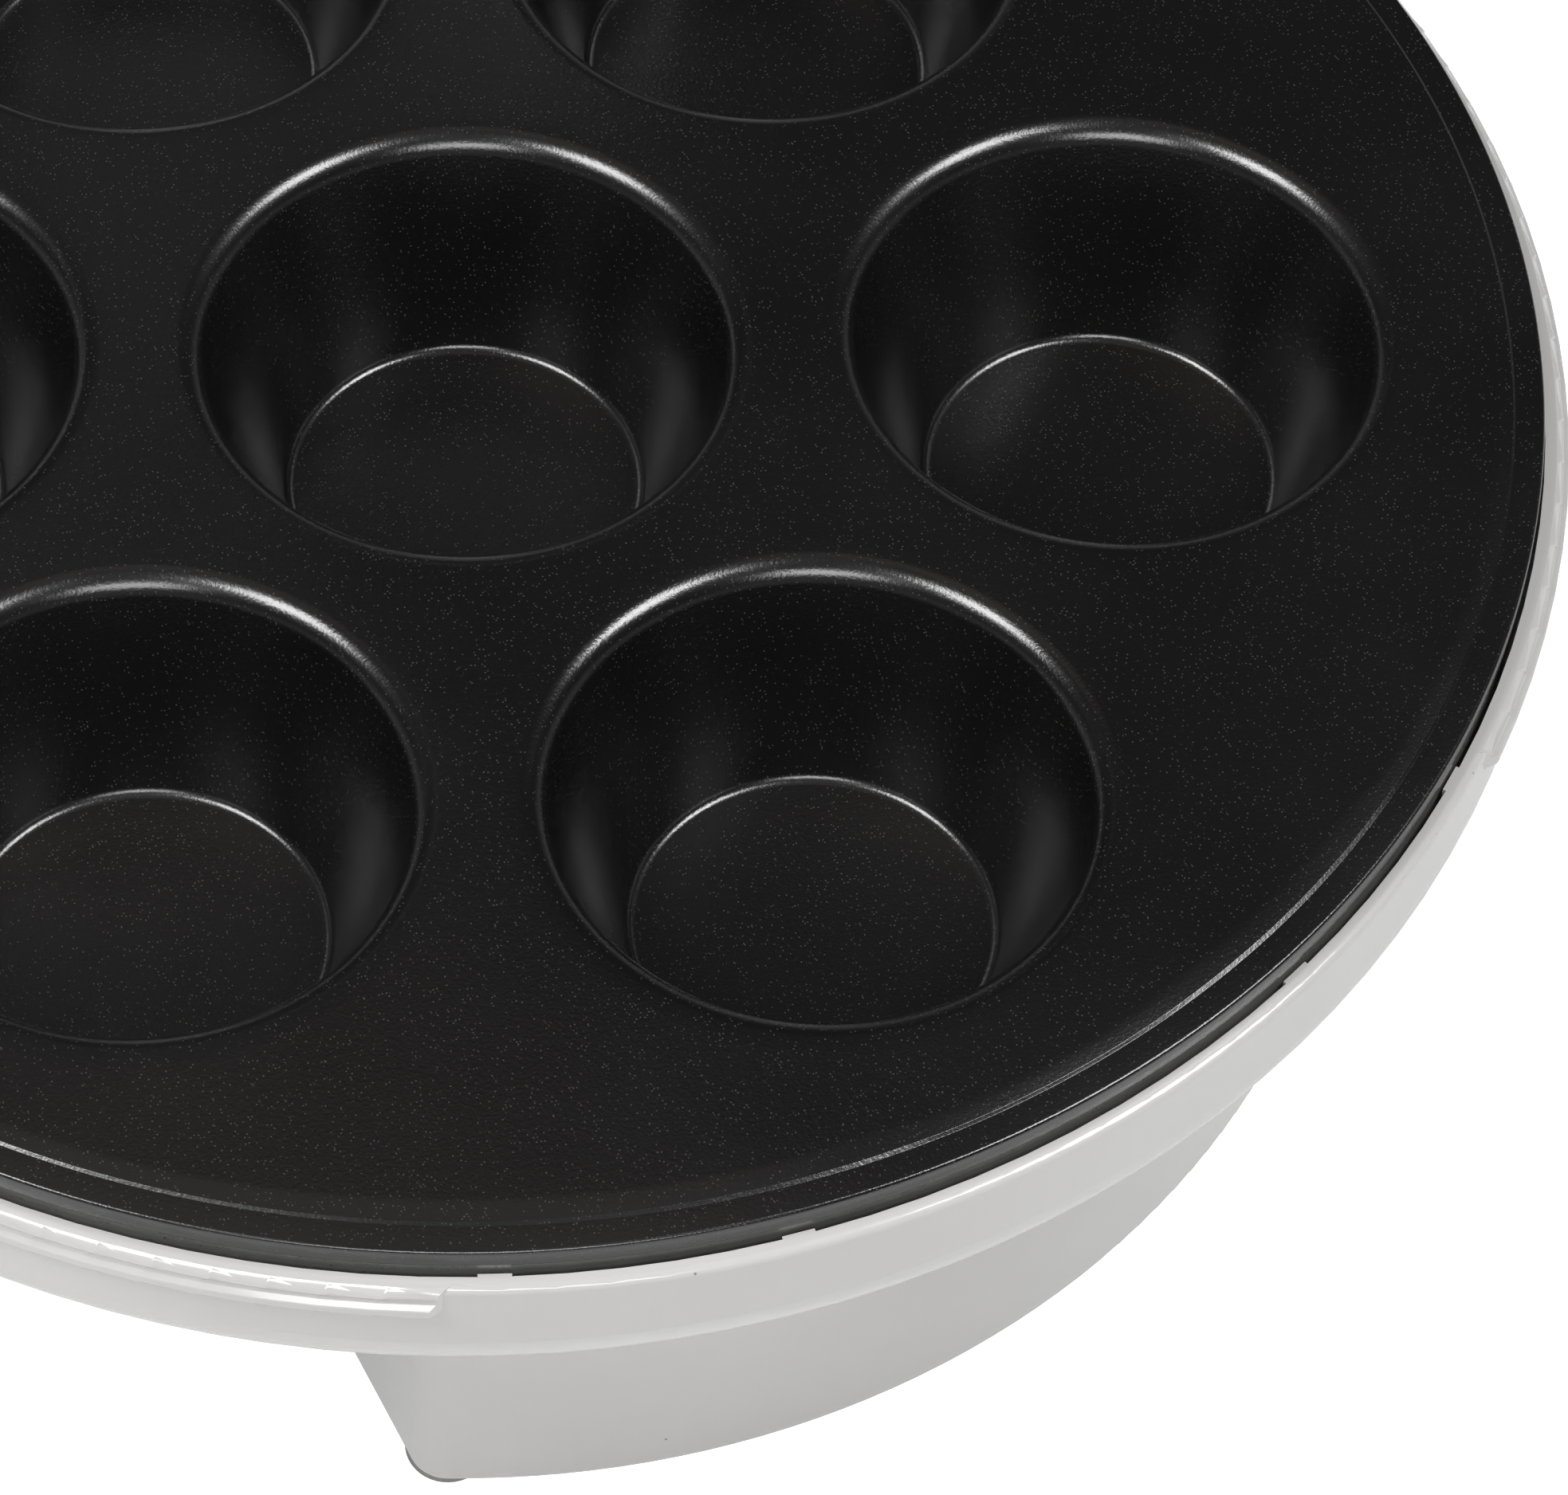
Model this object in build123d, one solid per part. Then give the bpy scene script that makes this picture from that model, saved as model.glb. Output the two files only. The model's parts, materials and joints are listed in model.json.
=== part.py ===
from build123d import *
import os
from math import cos, radians, sin, tan

os.makedirs("parts", exist_ok=True)

# A seven-cup countertop baker with a hinged lid. Millimetres, +Z up, front towards -Y.
# Everything is drawn with the lid shut and the body axis on the Z axis, heights counted from
# the lower plate's face. The lid is then swung open, and the whole is moved to its own origin.

# Driving dimensions
FACE_Z = 66.5            # lower plate's face above the table
BODY_Y = -42.6           # body axis in the part's frame, so that the open part stands centred
CUP_PITCH = 66.0         # cup to cup, and the radius of the ring of six
CUP_COUNT = 6            # cups round the middle one
CUP_ANGLE = 30.0         # first outer cup; one cup points at the front
OPEN_ANGLE = 100.0       # lid's swing from shut to its stop
WALL = 2.5               # moulded shells
FIT = 0.05               # radial clearance of a pin in its bore
GAP = 0.3                # free air between pieces that move past each other

# Cups
CUP_MOUTH = 27.87        # sharp corner of wall and face, before the lip is rounded
CUP_FLOOR = 18.3         # sharp corner of wall and floor
CUP_DEPTH = 23.2
CUP_LIP = 2.3
CUP_CORNER = 1.2
CUP_THICK = 1.7
DOME_RADIUS = 45.0       # upper plate's shallow domes
DOME_DEPTH = 9.0
DOME_LIP = 3.0

# Baking plates
PLATE_FLAT = 104.5       # radius of the raised face
PLATE_STEP = 106.4       # foot of the slope round it
PLATE_RADIUS = 109.4
STEP_DROP = 0.4
WEB = 2.6                # plate thickness
SHUT_GAP = 0.6           # between the two faces with the lid shut
SKIRT_RADIUS = 109.1
SKIRT_THICK = 1.2
SKIRT_DEPTH = 9.2
SKIRT_LEDGE = 100.0

# Lower housing, heights from the plate's face
RIM_INNER = 109.8
RIM_SHOULDER = 112.1     # outer edge of the rim's top face
RIM_GROOVE = 111.7       # shallow groove between top face and lip
RIM_OUTER = 112.5        # lip
RIM_TOP = -3.8
GROOVE_Z = -5.2
LIP_Z = -5.8
RIM_UNDER = -6.9
BELLY_RADIUS = 111.4
BELLY_CORNER = -16.1
BOWL_BOTTOM = -46.0
BOWL_FOOT = 81.5         # sharp corner of slope and flat bottom
BELLY_ROUND = 8.0
BOWL_ROUND = 30.0
RECESS_ANGLE = 32.5      # finger recess each side of the front
RECESS_FLARE = 50.0      # slant of its two ends
RIB_ANGLES = (-30.0, -15.0, 15.0, 30.0)
RIB_WIDTH = 3.2

# Lid housing
LID_EDGE = 1.4
LID_SHOULDER = 26.0
LID_CROWN_RADIUS = 94.0
LID_CROWN = 43.0
LID_TOP = 47.0
CAP_RADIUS = 52.0

# Hinge
HINGE_Y = 122.0
HINGE_Z = 3.0
LUG_RADIUS = 8.0
LUG_IN = 22.0            # inner faces of the two lugs
LUG_OUT = 31.0
PIN_RADIUS = 2.5
BUSH_RADIUS = 4.0
TOWER_REAR = 134.0
TOWER_BOTTOM = -38.0

# Inside
POST_RADIUS = 62.0       # ring of the lower plate's screw bosses
POST_ANGLES = (0.0, 180.0, -60.0, -120.0)
UPPER_POST_RADIUS = 43.0
FRAME_POST_RADIUS = 92.0
SCREW = 2.0              # shank radius of the case screws
ELEMENT_RING = 33.0
ELEMENT_RADIUS = 3.2
ELEMENT_REACH = 97.0
LEG_ANGLES = (60.0, 120.0)
REFLECTOR_DROP = 31.0
SHEET = 0.6
UPPER_SHEET_Z = 17.4
FRAME_SHEET = 1.2
ELEMENT_Z = -WEB - ELEMENT_RADIUS - 0.2
UPPER_ELEMENT_Z = SHUT_GAP - ELEMENT_Z
ELEMENT_BEND = 8.0
ELEMENT_DROP = 11.0      # from the loop to the ends of its legs
CLIP_ANGLES = (0.0, 180.0)
CLIP_RADIUS = 43.0
CLIP_Z = ELEMENT_Z - ELEMENT_RADIUS
BRACKET_ANGLE = -60.0
BRACKET_RADIUS = 53.2
BRACKET_Z = -WEB - 8.0
THERMOSTAT_RADIUS = 43.6
FUSE_ANGLE = -120.0
FUSE_PLACE = 47.5
WIRE_RADIUS = 1.0
INLET_RADIUS = 5.5       # hole for the cord's rubber bush
INLET_Z = -24.0

# Feet
FOOT_RADIUS = 95.5       # curved face of the front foot
REAR_FOOT_RADIUS = 111.0 # the rear foot reaches further, under the open lid's weight
FOOT_HALF = 53.5
FOOT_BACK_HALF = 51.2
FOOT_BACK_Y = 59.0
FOOT_CLEAR = 2.0         # foot block above the table
FOOT_TOP = -20.1
REAR_FOOT_TOP = -17.0
PAD_X = 48.5
PAD_Y = 76.0
REAR_PAD_Y = 94.0
PAD_RADIUS = 4.35
PAD_SEAT = 1.5           # how deep a pad is let in
FOOT_SCREW_X = 26.0
FOOT_SCREW_Y = 68.0
FOOT_SCREW_SEAT = 7.0    # screw head's seat above the block's underside

# Lamps
LAMP_X = (-9.0, 9.0)
LAMP_Y = -76.0
LAMP_RADIUS = 2.4
LENS_RADIUS = 3.6
LENS_TOP = 44.6
LENS_LOW = 39.6

# Handle
HANDLE_BOLT_X = 15.0
HANDLE_BOLT_Z = 15.0
HANDLE_ROOT = 42.0       # half width where it meets the lid
HANDLE_TIP = 33.0
HANDLE_FRONT = -147.0
HANDLE_LOW = 4.0
HANDLE_SPLIT = 9.0
HANDLE_HIGH = 21.0
COVER_SCREW_Y = -134.0

FLOOR = -FACE_Z          # the table, counted from the plate's face


def at(radius, angle, height=0.0):
    """Location on a circle round the body axis."""
    a = radians(angle)
    return Pos(radius * cos(a), radius * sin(a), height)


def spin(outline, radii=None):
    """Solid turned about the body axis from a closed outline of (radius, height)."""
    if radii:
        edge = FilletPolyline(*outline, radius=radii, close=True)
    else:
        edge = Polyline(*outline, close=True)
    return revolve(Plane.XZ * make_face(edge), Axis.Z)


def rod(radius, low, high):
    """Upright cylinder between two heights."""
    return Pos(0, 0, low) * Cylinder(radius, high - low, align=(Align.CENTER, Align.CENTER, Align.MIN))


def along_x(radius, low, high, y, z):
    """Cylinder along X between two stations."""
    middle = (low + high) / 2
    return Pos(middle, y, z) * Rot(0, 90, 0) * Cylinder(radius, high - low)


def along_y(radius, low, high, x, z):
    """Cylinder along Y between two stations."""
    middle = (low + high) / 2
    return Pos(x, middle, z) * Rot(90, 0, 0) * Cylinder(radius, high - low)


def block(x, y, z):
    """Box between three pairs of limits."""
    size = [b - a for a, b in (x, y, z)]
    centre = [(a + b) / 2 for a, b in (x, y, z)]
    return Pos(*centre) * Box(*size)


def screw(head_radius, head, shank_radius, shank):
    """Pan-head screw pointing up, with the underside of its head at height 0."""
    top = Pos(0, 0, -head) * rod(head_radius, 0, head)
    reach = head_radius - 1.0
    slots = block((-reach, reach), (-0.5, 0.5), (-head, 1.0 - head))
    slots += block((-0.5, 0.5), (-reach, reach), (-head, 1.0 - head))
    return top + rod(shank_radius, 0, shank) - slots


def cup_places():
    """The middle cup and the ring round it."""
    ring = [at(CUP_PITCH, CUP_ANGLE + 360.0 / CUP_COUNT * i) for i in range(CUP_COUNT)]
    return [Pos(0, 0, 0)] + ring


def export(name, shape, lid=False):
    """Write one piece at its resting place. The lid rests swung open on its stop."""
    if lid:
        hinge = Axis((0, HINGE_Y, HINGE_Z), (1, 0, 0))
        shape = shape.rotate(hinge, -OPEN_ANGLE)
    shape = Pos(0, BODY_Y, FACE_Z) * shape
    solids = shape.solids()
    result = solids[0] if len(solids) == 1 else Compound(children=list(solids))
    export_step(result, f"parts/{name}.step")


# ---------------------------------------------------------------- lower housing and feet

def bowl_outside():
    """Outer form of the lower housing, filled."""
    outline = [
        (0, BOWL_BOTTOM), (BOWL_FOOT, BOWL_BOTTOM), (BELLY_RADIUS, BELLY_CORNER),
        (BELLY_RADIUS, RIM_UNDER), (RIM_OUTER, RIM_UNDER), (RIM_OUTER, LIP_Z),
        (RIM_GROOVE, GROOVE_Z), (RIM_SHOULDER, RIM_TOP), (0, RIM_TOP),
    ]
    return spin(outline, [0, BOWL_ROUND, BELLY_ROUND, 0, 0.3, 0.25, 0.4, 0.8, 0])


def bowl_inside():
    """Hollow of the lower housing: one wall inside the outer form, wider behind the rim."""
    slope = WALL * 2 ** 0.5
    low = BOWL_BOTTOM + WALL
    seat = BELLY_RADIUS - WALL - 0.3
    foot = BOWL_FOOT - slope + WALL
    corner = BOWL_BOTTOM + seat - (BOWL_FOOT - slope)
    outline = [
        (0, low), (foot, low), (seat, corner), (seat, -SKIRT_DEPTH - 1.7),
        (RIM_INNER, -SKIRT_DEPTH - 0.3), (RIM_INNER, RIM_TOP + 1), (0, RIM_TOP + 1),
    ]
    return spin(outline, [0, BOWL_ROUND - WALL, BELLY_ROUND - WALL, 0, 0, 0, 0])


def finger_recess():
    """What is cut off the rim across the front, down to the belly. Its ends run out at a slant."""
    outline = [(0, RIM_UNDER - 1), (BELLY_RADIUS, RIM_UNDER - 1), (BELLY_RADIUS, RIM_TOP), (0, RIM_TOP)]
    kept = spin(outline, [0, 0, 0.8, 0])
    end = radians(RECESS_ANGLE)
    slant = radians(RECESS_ANGLE + RECESS_FLARE)
    apex_y = -BELLY_RADIUS * (cos(end) - sin(end) / tan(slant))
    far = 2 * RIM_OUTER
    side = (far * sin(slant), apex_y - far * cos(slant))
    corners = [(0, apex_y), (-side[0], side[1]), (0, -far), side]
    wedge = extrude(Pos(0, 0, RIM_UNDER) * make_face(Polyline(*corners, close=True)), RIM_TOP - RIM_UNDER)
    return wedge - kept


def tower():
    """Block behind the bowl that carries the hinge lugs and the cord inlet."""
    body = block((-LUG_OUT, LUG_OUT), (90, TOWER_REAR), (TOWER_BOTTOM, RIM_UNDER))
    return fillet(body.edges().filter_by(Axis.Z).group_by(Axis.Y)[-1], 4)


def lugs():
    """Two hinge lugs and the stop wall between them."""
    result = block((-20, 20), (131.4, TOWER_REAR), (RIM_UNDER - 1, HINGE_Z + 5))
    for low, high in ((-LUG_OUT, -LUG_IN), (LUG_IN, LUG_OUT)):
        stem = block((low, high), (HINGE_Y - LUG_RADIUS, HINGE_Y + LUG_RADIUS), (RIM_UNDER - 2, HINGE_Z))
        result += stem + along_x(LUG_RADIUS, low, high, HINGE_Y, HINGE_Z)
    return result


def lower_housing():
    shell = bowl_outside() + tower() + lugs()
    shell -= bowl_inside()
    inner = LUG_OUT - WALL
    shell -= block((-inner, inner), (85, TOWER_REAR - WALL), (TOWER_BOTTOM + WALL, RIM_UNDER - WALL))
    shell -= finger_recess()
    for angle in RIB_ANGLES:
        rib = block((SKIRT_RADIUS + 0.35, RIM_INNER + 0.6), (-RIB_WIDTH / 2, RIB_WIDTH / 2),
                    (-SKIRT_DEPTH, RIM_TOP))
        shell += Rot(0, 0, angle - 90) * rib
    for angle in POST_ANGLES:
        shell += at(POST_RADIUS, angle) * rod(4.5, BOWL_BOTTOM + 0.5, -REFLECTOR_DROP)
        shell -= at(POST_RADIUS, angle) * rod(SCREW + 0.2, BOWL_BOTTOM - 1, 0)
        shell -= at(POST_RADIUS, angle) * rod(4.0 - 0.3, BOWL_BOTTOM - 1, BOWL_BOTTOM + 4.5)
    for x in (-FOOT_SCREW_X, FOOT_SCREW_X):
        for y in (-FOOT_SCREW_Y, FOOT_SCREW_Y):
            shell += Pos(x, y, 0) * rod(4.0, BOWL_BOTTOM + 1.5, BOWL_BOTTOM + 10)
            shell -= Pos(x, y, 0) * rod(1.75 + FIT, BOWL_BOTTOM - 1, BOWL_BOTTOM + 9)
    for i in range(8):
        slot = extrude(Pos(0, 0, BOWL_BOTTOM - 1) * SlotCenterToCenter(12, 3), WALL + 2)
        shell -= Rot(0, 0, 45.0 * i + 22.5) * Pos(28, 0, 0) * slot
    shell -= along_x(PIN_RADIUS, LUG_IN - 1, LUG_OUT + 1, HINGE_Y, HINGE_Z)
    shell -= along_x(BUSH_RADIUS, -LUG_OUT - 1, -LUG_IN + 1, HINGE_Y, HINGE_Z)
    shell -= along_y(INLET_RADIUS, TOWER_REAR - 5, TOWER_REAR + 1, 0, INLET_Z)
    return shell


def foot_outline(radius):
    """Plan of a foot at the front: a curved face with two nearly parallel ends."""
    corner_y = -((radius ** 2 - FOOT_HALF ** 2) ** 0.5)
    left = Line((-FOOT_BACK_HALF, -FOOT_BACK_Y), (-FOOT_HALF, corner_y))
    front = ThreePointArc((-FOOT_HALF, corner_y), (0, -radius), (FOOT_HALF, corner_y))
    right = Line((FOOT_HALF, corner_y), (FOOT_BACK_HALF, -FOOT_BACK_Y))
    back = Line((FOOT_BACK_HALF, -FOOT_BACK_Y), (-FOOT_BACK_HALF, -FOOT_BACK_Y))
    return make_face(left + front + right + back)


def foot_block(radius, pad_y, high):
    """Hollow foot block, drawn at the front, whose top follows the bowl."""
    low = FLOOR + FOOT_CLEAR
    plan = foot_outline(radius)
    plan = fillet(plan.vertices(), 4)
    solid = extrude(Pos(0, 0, low) * plan, high - low)
    solid = fillet(solid.faces().sort_by(Axis.Z)[0].edges(), 1.6)
    hollow = extrude(Pos(0, 0, low + WALL) * offset(plan, -WALL), high - low)
    screws = [Pos(x, -FOOT_SCREW_Y, 0) for x in (-FOOT_SCREW_X, FOOT_SCREW_X)]
    for place in screws:
        hollow -= place * rod(5.5, low, high)
    shape = solid - hollow
    shape -= bowl_outside()
    for place in screws:
        shape -= place * rod(2.0, low - 1, high)
        shape -= place * rod(4.2, low - 1, low + FOOT_SCREW_SEAT)
    for x in (-PAD_X, PAD_X):
        shape -= Pos(x, -pad_y, 0) * rod(PAD_RADIUS, low - 1, low + PAD_SEAT)
    return shape


def foot_pads():
    """Four rubber pads let into the foot blocks."""
    pad = rod(PAD_RADIUS, FLOOR, FLOOR + FOOT_CLEAR + PAD_SEAT)
    pad = fillet(pad.edges().filter_by(GeomType.CIRCLE).sort_by(Axis.Z)[0], 1.0)
    places = [Pos(x, y, 0) for x in (-PAD_X, PAD_X) for y in (-PAD_Y, REAR_PAD_Y)]
    return Compound(children=[place * pad for place in places])


def foot_screws():
    seat = FLOOR + FOOT_CLEAR + FOOT_SCREW_SEAT
    one = screw(3.8, 2.6, 1.75, BOWL_BOTTOM + 8 - seat)
    xs = (-FOOT_SCREW_X, FOOT_SCREW_X)
    ys = (-FOOT_SCREW_Y, FOOT_SCREW_Y)
    return Compound(children=[Pos(x, y, seat) * one for x in xs for y in ys])


rear_block = Rot(0, 0, 180) * foot_block(REAR_FOOT_RADIUS, REAR_PAD_Y, REAR_FOOT_TOP)
export("lower_housing", lower_housing())
export("front_foot", foot_block(FOOT_RADIUS, PAD_Y, FOOT_TOP))
export("rear_foot", rear_block - tower())
export("foot_pads", foot_pads())
export("foot_screws", foot_screws())


# ---------------------------------------------------------------- lower baking plate

def cup_hollow():
    """Inside of one cup, with its rounded lip."""
    outline = [(CUP_PITCH / 2 - 0.4, 0), (CUP_MOUTH, 0), (CUP_FLOOR, -CUP_DEPTH), (0, -CUP_DEPTH)]
    side = FilletPolyline(*outline, radius=[CUP_LIP, CUP_CORNER])
    lid = Polyline((0, -CUP_DEPTH), (0, 1), (CUP_PITCH / 2 - 0.4, 1), (CUP_PITCH / 2 - 0.4, 0))
    return revolve(Plane.XZ * make_face(side + lid), Axis.Z)


def cup_outside():
    """Outer form of one cup under the plate, filled."""
    top = CUP_MOUTH + CUP_THICK
    foot = CUP_FLOOR + CUP_THICK
    low = -CUP_DEPTH - CUP_THICK
    outline = [(0, low), (foot, low), (top, -1.0), (0, -1.0)]
    return spin(outline, [0, CUP_CORNER + CUP_THICK, 0, 0])


def plate_disc():
    """Face, slope and outer ring of a baking plate."""
    outline = [
        (0, 0), (PLATE_FLAT, 0), (PLATE_STEP, -STEP_DROP), (PLATE_RADIUS, -STEP_DROP),
        (PLATE_RADIUS, -WEB), (0, -WEB),
    ]
    return spin(outline, [0, 1.2, 0.8, 0.4, 0.2, 0])


def lower_plate():
    plate = plate_disc()
    for place in cup_places():
        plate += place * cup_outside()
    for angle in POST_ANGLES:
        plate += at(POST_RADIUS, angle) * rod(4.0, -REFLECTOR_DROP + SHEET, -WEB + 0.5)
    for angle in CLIP_ANGLES:
        plate += at(CLIP_RADIUS, angle) * rod(3.0, CLIP_Z, -WEB + 0.5)
    plate += at(BRACKET_RADIUS, BRACKET_ANGLE) * rod(2.8, BRACKET_Z, -WEB + 0.5)
    for place in cup_places():
        plate -= place * cup_hollow()
    for angle in POST_ANGLES:
        plate -= at(POST_RADIUS, angle) * rod(SCREW + FIT, -REFLECTOR_DROP, -14)
    for angle in CLIP_ANGLES:
        plate -= at(CLIP_RADIUS, angle) * rod(1.5 + FIT, CLIP_Z - 1, -3.5)
    plate -= at(BRACKET_RADIUS, BRACKET_ANGLE) * rod(1.5 + FIT, BRACKET_Z - 1, -3.5)
    return plate


def plate_skirt():
    """Black steel skirt ring clenched under the plate's edge."""
    outline = [
        (SKIRT_LEDGE, -WEB), (SKIRT_RADIUS - 0.4, -WEB), (SKIRT_RADIUS - 0.4, -WEB - 0.3),
        (SKIRT_RADIUS, -WEB - 0.3), (SKIRT_RADIUS, -SKIRT_DEPTH),
        (SKIRT_RADIUS - SKIRT_THICK, -SKIRT_DEPTH), (SKIRT_RADIUS - SKIRT_THICK, -WEB - SKIRT_THICK),
        (SKIRT_LEDGE, -WEB - SKIRT_THICK),
    ]
    return spin(outline)


def lower_reflector():
    """Shallow aluminised pan under the cups."""
    low = -REFLECTOR_DROP
    outline = [
        (0, low + SHEET), (86.0, low + SHEET), (89.8, low + 6.0), (90.5, low + 6.0),
        (86.6, low), (0, low),
    ]
    pan = spin(outline)
    for angle in POST_ANGLES:
        pan -= at(POST_RADIUS, angle) * rod(SCREW + 0.3, low - 1, low + 1)
    return pan


def element(centre_z, drop):
    """Sheathed heating loop: a ring with two legs that run out and turn by `drop`."""
    section = Plane.XZ * Pos(ELEMENT_RING, centre_z) * Circle(ELEMENT_RADIUS)
    start, end = LEG_ANGLES
    shape = Rot(0, 0, end) * revolve(section, Axis.Z, 360.0 - (end - start))
    bend = ELEMENT_BEND
    side = 1 if drop > 0 else -1
    for angle in LEG_ANGLES:
        run = Line((ELEMENT_RING, 0, centre_z), (ELEMENT_REACH - bend, 0, centre_z))
        centre = (ELEMENT_REACH - bend, 0, centre_z + side * bend)
        middle = (centre[0] + bend * sin(radians(45)), 0, centre[2] - side * bend * cos(radians(45)))
        elbow = ThreePointArc(run @ 1, middle, (ELEMENT_REACH, 0, centre[2]))
        fall = Line(elbow @ 1, (ELEMENT_REACH, 0, centre_z + drop))
        leg = sweep(Plane(origin=run @ 0, z_dir=(1, 0, 0)) * Circle(ELEMENT_RADIUS), path=run + elbow + fall)
        shape += Rot(0, 0, angle) * (leg + Pos(ELEMENT_RING, 0, centre_z) * Sphere(ELEMENT_RADIUS))
    return shape


def element_pins(low, high):
    """Terminal pins in the two ends of a heating loop."""
    return Compound(children=[at(ELEMENT_REACH, angle) * rod(1.5, low, high) for angle in LEG_ANGLES])


def element_clips():
    """Straps that hold the heating loop up against the plate."""
    strap = block((ELEMENT_RING - 4.5, CLIP_RADIUS + 4), (-4, 4), (CLIP_Z - 1.0, CLIP_Z))
    strap = fillet(strap.edges().filter_by(Axis.Z), 1.5)
    strap -= Pos(CLIP_RADIUS, 0, 0) * rod(1.7, CLIP_Z - 2, CLIP_Z + 1)
    return Compound(children=[Rot(0, 0, angle) * strap for angle in CLIP_ANGLES])


def clip_screws():
    """Small screws of the loop's straps and of the thermostat's bracket."""
    one = screw(2.8, 1.8, 1.5, 5.5)
    result = [at(CLIP_RADIUS, angle, CLIP_Z - 1.0) * one for angle in CLIP_ANGLES]
    result.append(at(BRACKET_RADIUS, BRACKET_ANGLE, BRACKET_Z - 1.0) * one)
    return Compound(children=result)


def thermostat():
    """Bimetal disc thermostat with two flat tabs."""
    body = at(THERMOSTAT_RADIUS, BRACKET_ANGLE) * rod(6.4, BRACKET_Z + 2.4, -WEB)
    neck = at(THERMOSTAT_RADIUS, BRACKET_ANGLE) * rod(5.2, BRACKET_Z, BRACKET_Z + 2.4)
    return body + neck


def thermostat_bracket():
    strap = block((THERMOSTAT_RADIUS - 6, BRACKET_RADIUS + 3), (-4, 4), (BRACKET_Z - 1.0, BRACKET_Z))
    strap -= Pos(BRACKET_RADIUS, 0, 0) * rod(1.7, BRACKET_Z - 2, BRACKET_Z + 1)
    return Rot(0, 0, BRACKET_ANGLE) * strap


def thermal_fuse():
    """One-shot fuse in its sleeve, lying along a web between two cups."""
    fuse = along_x(2.5, FUSE_PLACE - 8, FUSE_PLACE + 8, 0, -WEB - 2.6)
    leads = along_x(0.6, FUSE_PLACE - 10, FUSE_PLACE + 10, 0, -WEB - 2.6)
    return Rot(0, 0, FUSE_ANGLE) * (fuse + leads)


def case_screws():
    """Long screws up through the bowl into the lower plate's bosses."""
    one = screw(3.5, 2.8, SCREW, 26)
    places = [at(POST_RADIUS, angle, BOWL_BOTTOM + 4.5) for angle in POST_ANGLES]
    return Compound(children=[place * one for place in places])


def terminal_block():
    body = block((-14, 14), (38, 50), (BOWL_BOTTOM + WALL, BOWL_BOTTOM + WALL + 8))
    body = fillet(body.edges().filter_by(Axis.Z), 1.0)
    for x in (-9, 0, 9):
        body -= Pos(x, 44, 0) * rod(2.0, BOWL_BOTTOM + WALL + 5, BOWL_BOTTOM + WALL + 9)
        body -= along_y(1.6, 36, 52, x, BOWL_BOTTOM + WALL + 3)
    return body


def terminal_screws():
    top = BOWL_BOTTOM + WALL + 8
    return Compound(children=[Pos(x, 44, 0) * rod(2.0 - FIT, top - 3, top - 0.8) for x in (-9, 0, 9)])


def lower_wires():
    """Two leads from the loop's pins down the bowl's slope to the terminal block."""
    leads = []
    for side in (-1, 1):
        a = radians(90 - 30 * side)
        out_x = cos(a)
        out_y = sin(a)
        x = 9.0 * side
        points = [
            (97 * out_x, 97 * out_y, -21.0), (97 * out_x, 97 * out_y, -24.5),
            (84 * out_x, 84 * out_y, -37.0), (30.0 * side, 57, -40.0), (x, 57, -40.5), (x, 51, -40.5),
        ]
        path = FilletPolyline(*points, radius=[1.5, 6, 8, 2.5])
        leads.append(sweep(Plane(origin=path @ 0, z_dir=path % 0) * Circle(WIRE_RADIUS), path=path))
    return Compound(children=leads)


def cord_gland():
    """Rubber bush in the rear wall, where the mains lead goes in."""
    wall = TOWER_REAR - WALL
    body = along_y(INLET_RADIUS + 2, TOWER_REAR, TOWER_REAR + 2, 0, INLET_Z)
    body += along_y(INLET_RADIUS, wall, TOWER_REAR, 0, INLET_Z)
    body += along_y(INLET_RADIUS + 1.3, wall - 1.5, wall, 0, INLET_Z)
    return body - along_y(3.5, wall - 5.5, TOWER_REAR + 4, 0, INLET_Z)


export("lower_plate", lower_plate())
export("lower_skirt", plate_skirt())
export("lower_reflector", lower_reflector())
export("lower_element", element(ELEMENT_Z, -ELEMENT_DROP))
export("lower_element_pins", element_pins(ELEMENT_Z - ELEMENT_DROP - 4, ELEMENT_Z - ELEMENT_DROP))
export("element_clips", element_clips())
export("clip_screws", clip_screws())
export("thermostat", thermostat())
export("thermostat_bracket", thermostat_bracket())
export("thermal_fuse", thermal_fuse())
export("case_screws", case_screws())
export("terminal_block", terminal_block())
export("terminal_screws", terminal_screws())
export("lower_wires", lower_wires())
export("cord_gland", cord_gland())


# ---------------------------------------------------------------- hinge

def hinge_pin():
    return along_x(PIN_RADIUS, 9, LUG_OUT, HINGE_Y, HINGE_Z)


def hinge_bush():
    """Hollow pivot that the lid's wiring runs through."""
    tube = along_x(BUSH_RADIUS, -LUG_OUT, -9, HINGE_Y, HINGE_Z)
    return tube - along_x(2.6, -LUG_OUT - 1, -8, HINGE_Y, HINGE_Z)


def hinge_wires():
    return along_x(2.2, -LUG_OUT + 1, -9, HINGE_Y, HINGE_Z)


export("hinge_pin", hinge_pin())
export("hinge_bush", hinge_bush())
export("hinge_wires", hinge_wires())


# ---------------------------------------------------------------- lid

def lid_outside():
    """Outer form of the lid housing, filled."""
    outline = [
        (0, LID_EDGE), (RIM_OUTER, LID_EDGE), (RIM_OUTER, LID_SHOULDER),
        (LID_CROWN_RADIUS, LID_CROWN), (0, LID_TOP),
    ]
    return spin(outline, [0, 1.2, 14, 30, 0])


def lid_inside():
    """Hollow of the lid housing."""
    outline = [
        (0, LID_EDGE - 1), (RIM_INNER, LID_EDGE - 1), (RIM_INNER, LID_SHOULDER - 1.1),
        (LID_CROWN_RADIUS - 1.0, LID_CROWN - WALL + 0.1), (0, LID_TOP - WALL - 0.1),
    ]
    return spin(outline, [0, 0, 11.5, 27.5, 0])


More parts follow.
